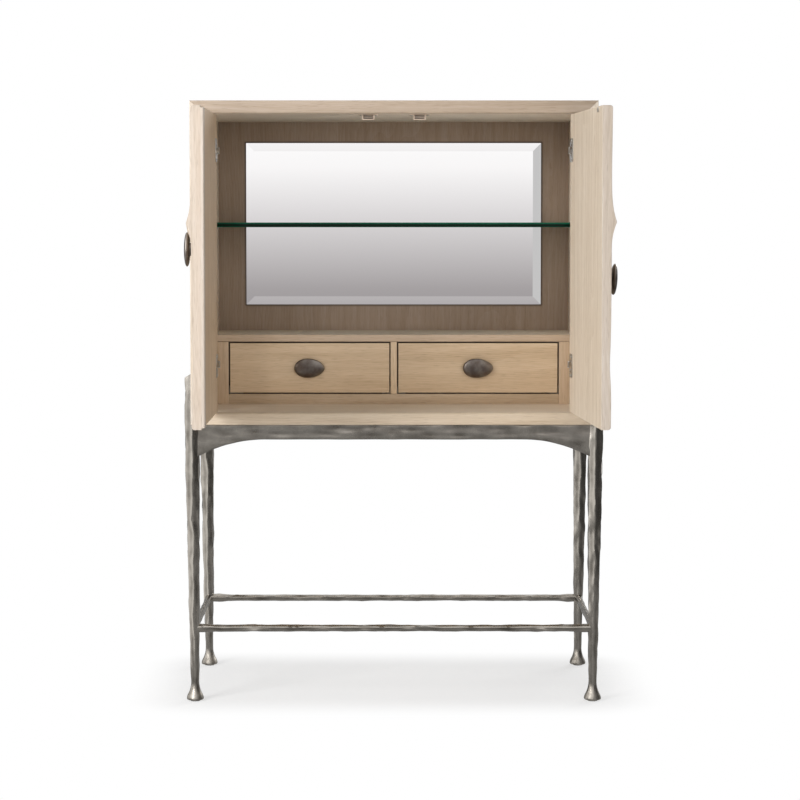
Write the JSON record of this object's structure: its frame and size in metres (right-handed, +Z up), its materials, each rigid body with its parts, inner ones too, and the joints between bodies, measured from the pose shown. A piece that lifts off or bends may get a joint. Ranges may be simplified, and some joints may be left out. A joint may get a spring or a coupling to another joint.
{
  "type": "bar cabinet",
  "caption": "Tall bar cabinet: mitred oak case with carved inset doors, drawers, a glass shelf and a bevelled mirror, on a hammered iron stand with trumpet feet.",
  "frame": {"origin": "middle of the overall box on the floor, under the four feet, with the doors as they stand open", "axes": "+Z up, +X to the viewer's right when facing the doors, +Y from the doors to the back"},
  "size_m": [1.0509, 0.994, 1.51],
  "materials": {
    "waxed_oak": "matte waxed oak, greige, fine grain",
    "plain_wood": "plain sanded wood",
    "forged_iron": "hammered, waxed, pewter grey with brown hollows",
    "dark_bronze": "dark patinated bronze with rubbed edges",
    "nickel_steel": "nickel plated",
    "zinc_steel": "zinc plated",
    "mirror_glass": "silvered, bevelled",
    "clear_glass": "clear, greenish at the edges",
    "brown_plastic": "satin",
    "grey_felt": "pressed felt"
  },
  "bodies": {
    "case": {"back_apron": "forged_iron", "back_panel": "waxed_oak", "back_stretcher": "forged_iron", "base_screws": "zinc_steel", "bottom_panel": "waxed_oak", "catch_screws": "zinc_steel", "drawer_bottom_rail": "waxed_oak", "drawer_deck": "waxed_oak", "drawer_divider": "waxed_oak", "drawer_runners": "plain_wood", "fixing_tabs": "forged_iron", "foot_glides": "grey_felt", "front_apron": "forged_iron", "front_stretcher": "forged_iron", "hinge_plate_screws": "zinc_steel", "hinge_plates": "nickel_steel", "left_apron": "forged_iron", "left_back_leg": "forged_iron", "left_drawer_stile": "waxed_oak", "left_front_leg": "forged_iron", "left_hinge_arms": "nickel_steel", "left_side_panel": "waxed_oak", "left_stretcher": "forged_iron", "magnetic_catches": "brown_plastic", "mirror": "mirror_glass", "mirror_backing": "plain_wood", "right_apron": "forged_iron", "right_back_leg": "forged_iron", "right_drawer_stile": "waxed_oak", "right_front_leg": "forged_iron", "right_hinge_arms": "nickel_steel", "right_side_panel": "waxed_oak", "right_stretcher": "forged_iron", "shelf_pins": "zinc_steel", "top_panel": "waxed_oak"},
    "left_links": {"left_hinge_links": "nickel_steel"},
    "right_links": {"right_hinge_links": "nickel_steel"},
    "left_door": {"left_door_panel": "waxed_oak", "left_door_knob": "dark_bronze", "left_hinge_cups": "nickel_steel", "left_cup_screws": "zinc_steel", "left_door_astragal": "waxed_oak", "left_door_strike": "zinc_steel"},
    "right_door": {"right_door_panel": "waxed_oak", "right_door_knob": "dark_bronze", "right_hinge_cups": "nickel_steel", "right_cup_screws": "zinc_steel", "right_door_strike": "zinc_steel"},
    "glass_shelf": {"glass_shelf": "clear_glass"},
    "left_drawer": {"left_drawer_front": "waxed_oak", "left_drawer_sides": "plain_wood", "left_drawer_back": "plain_wood", "left_drawer_bottom": "plain_wood", "left_drawer_knob": "dark_bronze"},
    "right_drawer": {"right_drawer_front": "waxed_oak", "right_drawer_sides": "plain_wood", "right_drawer_back": "plain_wood", "right_drawer_bottom": "plain_wood", "right_drawer_knob": "dark_bronze"}
  },
  "joints": [
    {"name": "left_link_swing", "type": "hinge", "parent": "case", "child": "left_links", "pos_m": [-0.4382, 0.00702, 1.119], "axis": [0, 0, 1], "range_deg": [-65, 10.83]},
    {"name": "left_door_swing", "type": "hinge", "parent": "left_links", "child": "left_door", "pos_m": [-0.447, -0.019, 1.119], "axis": [0, 0, -1], "range_deg": [-155.01, 25.84]},
    {"name": "right_link_swing", "type": "hinge", "parent": "case", "child": "right_links", "pos_m": [0.4382, 0.00702, 1.119], "axis": [0, 0, -1], "range_deg": [-68.03, 7.8]},
    {"name": "right_door_swing", "type": "hinge", "parent": "right_links", "child": "right_door", "pos_m": [0.44561, -0.01943, 1.119], "axis": [0, 0, 1], "range_deg": [-162.24, 18.61]},
    {"name": "left_drawer_slide", "type": "slide", "parent": "case", "child": "left_drawer", "axis": [0, -1, 0], "range_m": [0, 0.15]},
    {"name": "right_drawer_slide", "type": "slide", "parent": "case", "child": "right_drawer", "axis": [0, -1, 0], "range_m": [0, 0.15]},
    {"name": "shelf_lift", "type": "slide", "parent": "case", "child": "glass_shelf", "axis": [0, 0, 1], "range_m": [0, 0.04]}
  ],
  "couplings": [
    {"joint": "left_door_swing", "follows": "left_link_swing", "ratio": 2.3846},
    {"joint": "right_door_swing", "follows": "right_link_swing", "ratio": 2.3846}
  ]
}
